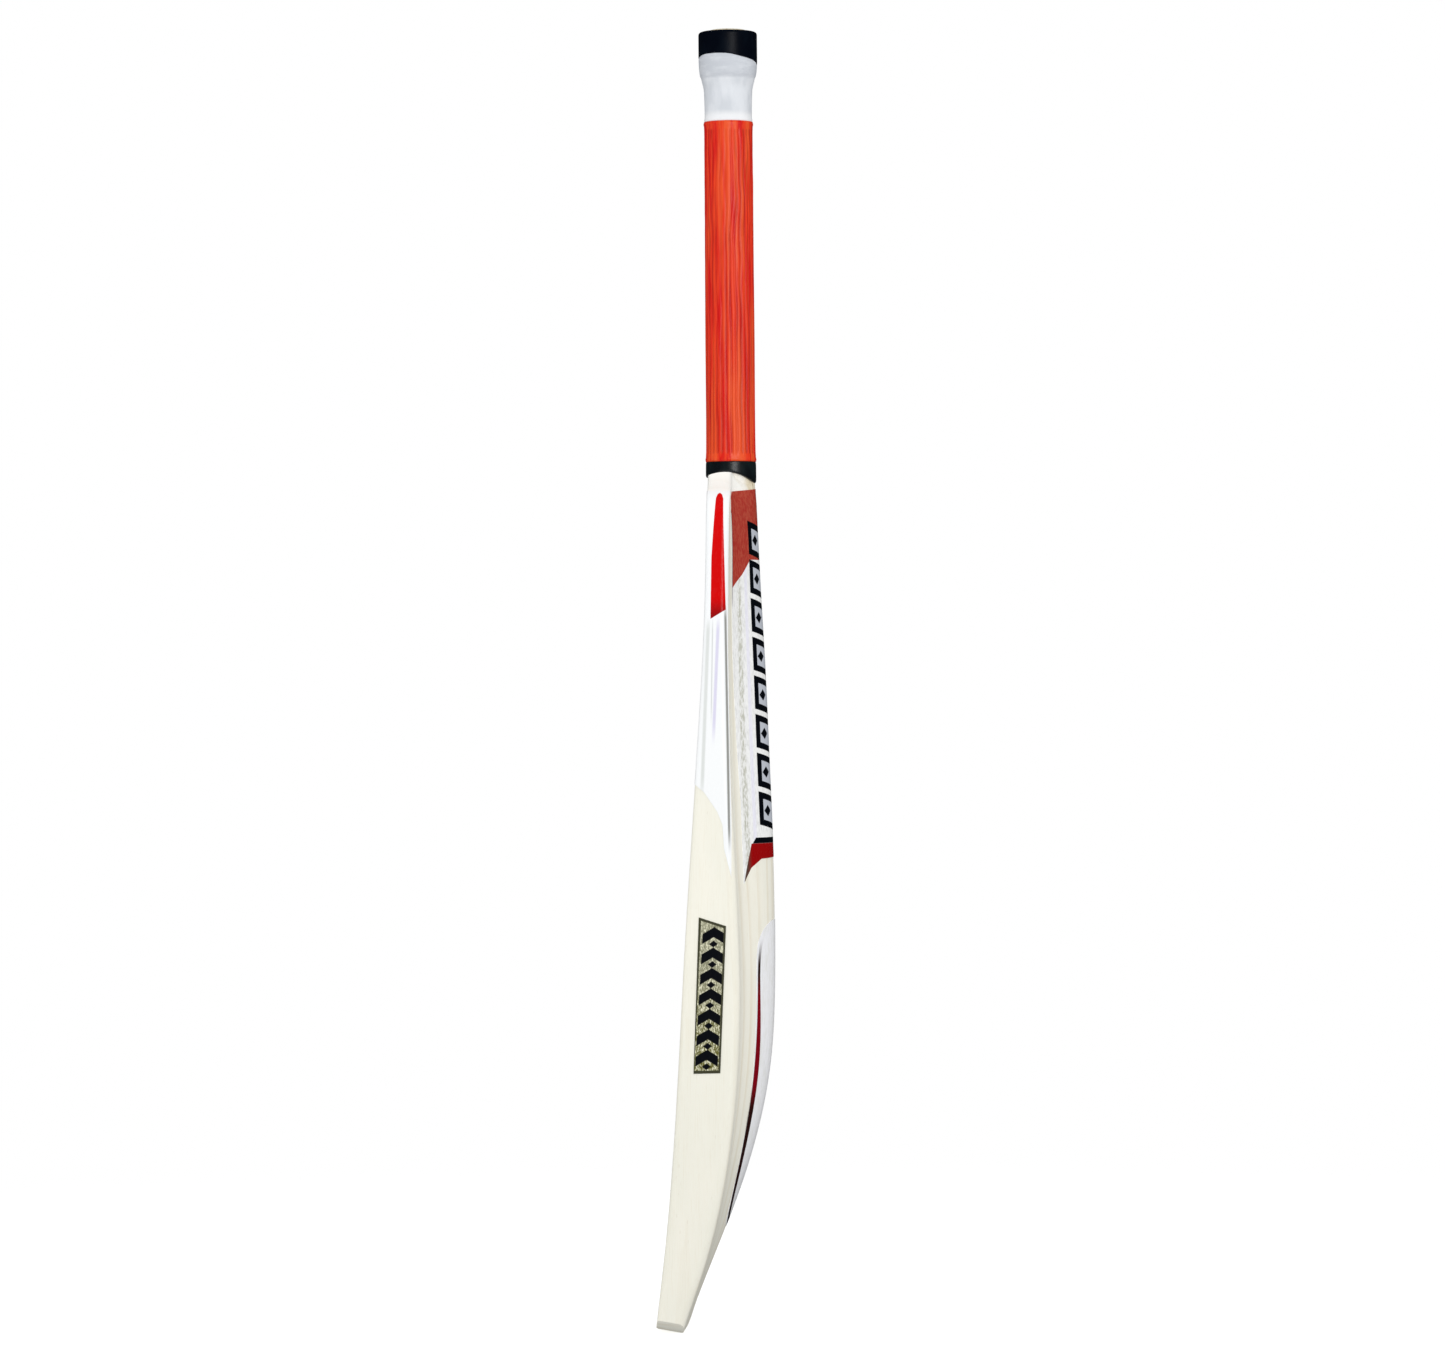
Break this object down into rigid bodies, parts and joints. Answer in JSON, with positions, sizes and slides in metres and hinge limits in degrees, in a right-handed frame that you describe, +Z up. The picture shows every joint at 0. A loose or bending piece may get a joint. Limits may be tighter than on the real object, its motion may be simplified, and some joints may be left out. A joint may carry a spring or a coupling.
{
  "type": "cricket bat",
  "caption": "Full-size cricket bat: bowed willow blade with a ridged back, spliced laminated cane handle, rubber grip in coloured lengths and vinyl stickers.",
  "frame": {"origin": "centre of the flat toe end, which is tilted 10 degrees to square with the bowed blade", "axes": "+X across the blade, +Y from the hitting face to the back, +Z up the straight handle, whose axis is parallel to Z and 41.5 mm behind the origin"},
  "size_m": [0.108, 0.0787, 0.8551],
  "materials": {
    "willow": "pale pressed willow, sanded and waxed, straight grain",
    "cane": "laminated cane, sealed, pored end grain",
    "spring_rubber": "dark rubber sheet",
    "thread": "waxed binding thread, close turns",
    "rubber_black": "satin moulded rubber",
    "rubber_grey": "satin moulded rubber",
    "rubber_red": "fine-ribbed moulded rubber",
    "vinyl_white": "printed glossy vinyl",
    "vinyl_gold": "printed metallic vinyl"
  },
  "bodies": {
    "root": {"blade": "willow", "twine_binding": "thread", "grip_butt_band": "rubber_black", "grip_collar": "rubber_grey", "grip_sleeve": "rubber_red", "grip_base_ring": "rubber_black", "face_sticker": "vinyl_white", "back_sticker": "vinyl_white", "spine_sticker": "vinyl_white", "edge_label_right": "vinyl_gold", "edge_label_left": "vinyl_gold", "cane_front_left": "cane", "cane_front_centre": "cane", "cane_front_right": "cane", "cane_mid_front_left": "cane", "cane_mid_front_centre": "cane", "cane_mid_front_right": "cane", "cane_mid_back_left": "cane", "cane_mid_back_centre": "cane", "cane_mid_back_right": "cane", "cane_back_left": "cane", "cane_back_centre": "cane", "cane_back_right": "cane", "rubber_spring_front": "spring_rubber", "rubber_spring_middle": "spring_rubber", "rubber_spring_back": "spring_rubber"}
  },
  "joints": []
}
